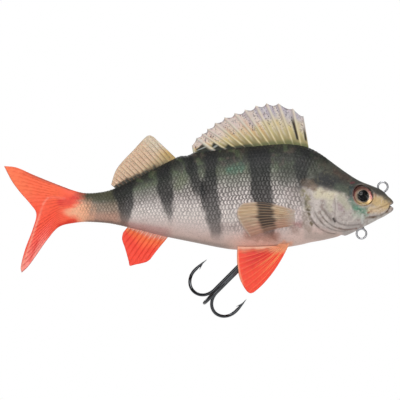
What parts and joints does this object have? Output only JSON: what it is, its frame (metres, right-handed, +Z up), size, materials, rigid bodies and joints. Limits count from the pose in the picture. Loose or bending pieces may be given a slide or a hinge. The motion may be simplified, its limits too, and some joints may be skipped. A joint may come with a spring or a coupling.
{
  "type": "swimbait",
  "caption": "Soft-bodied fish-shaped fishing lure whose rear body and tail flex, with ray-finned fins, wire eyes and a treble hook swinging on a split ring.",
  "frame": {"origin": "centre of the line tie's wire eye, on top of the nose", "axes": "+X towards the nose, along the body; +Y to the fish's left; +Z up"},
  "size_m": [0.1804, 0.0301, 0.0999],
  "materials": {
    "soft_body": "soft plastic, painted: dark olive back and bars, silver-white flanks, pinkish belly, clear coat",
    "dorsal_fins": "translucent soft plastic, cream to tan with dark speckles",
    "red_fins": "translucent soft plastic, orange-red with darker rays",
    "pectoral_fins": "soft plastic, tan",
    "iris_foil": "printed foil",
    "pupil": "gloss black",
    "eye_dome": "clear resin",
    "ballast": "as cast",
    "steel_wire": "bright stainless",
    "hook_steel": "black nickel"
  },
  "bodies": {
    "trunk": {"trunk_body": "soft_body", "first_dorsal_fin": "dorsal_fins", "left_pelvic_fin": "red_fins", "right_pelvic_fin": "red_fins", "left_pectoral_fin": "pectoral_fins", "right_pectoral_fin": "pectoral_fins", "left_eye_cup": "iris_foil", "left_eye_pupil": "pupil", "left_eye_dome": "eye_dome", "right_eye_cup": "iris_foil", "right_eye_pupil": "pupil", "right_eye_dome": "eye_dome", "ballast_weight": "ballast", "line_tie_wire": "steel_wire", "chin_eye_wire": "steel_wire", "hook_hanger_wire": "steel_wire", "body_bend_web": "soft_body"},
    "rear_body": {"rear_body": "soft_body", "second_dorsal_fin": "dorsal_fins", "anal_fin": "red_fins", "peduncle_bend_web": "soft_body"},
    "peduncle": {"peduncle_body": "soft_body", "tail_bend_web": "soft_body"},
    "tail_fin": {"tail_fin": "red_fins"},
    "split_ring": {"split_ring": "steel_wire"},
    "treble": {"treble_double_hook": "hook_steel", "treble_single_hook": "hook_steel"}
  },
  "joints": [
    {"name": "body_bend", "type": "hinge", "parent": "trunk", "child": "rear_body", "pos_m": [-0.0916, 0, -0.0093], "axis": [0, 0, 1], "range_deg": [-20, 20], "stiffness_Nm_per_rad": 0.05, "deforming": ["body_bend_web"]},
    {"name": "peduncle_bend", "type": "hinge", "parent": "rear_body", "child": "peduncle", "pos_m": [-0.1275, 0, -0.0093], "axis": [0, 0, 1], "range_deg": [-30, 30], "stiffness_Nm_per_rad": 0.01, "deforming": ["peduncle_bend_web"]},
    {"name": "tail_bend", "type": "hinge", "parent": "peduncle", "child": "tail_fin", "pos_m": [-0.1445, 0, -0.0093], "axis": [0, 0, 1], "range_deg": [-30, 30], "stiffness_Nm_per_rad": 0.003, "deforming": ["tail_bend_web"]},
    {"name": "ring_swing", "type": "hinge", "parent": "trunk", "child": "split_ring", "pos_m": [-0.059, 0, -0.02979], "axis": [0, 1, 0], "range_deg": [-108, 18]},
    {"name": "hook_side_swing", "type": "hinge", "parent": "split_ring", "child": "treble", "pos_m": [-0.06155, 0, -0.03233], "axis": [-0.7071, 0, 0.7071], "range_deg": [-25, 25]}
  ]
}
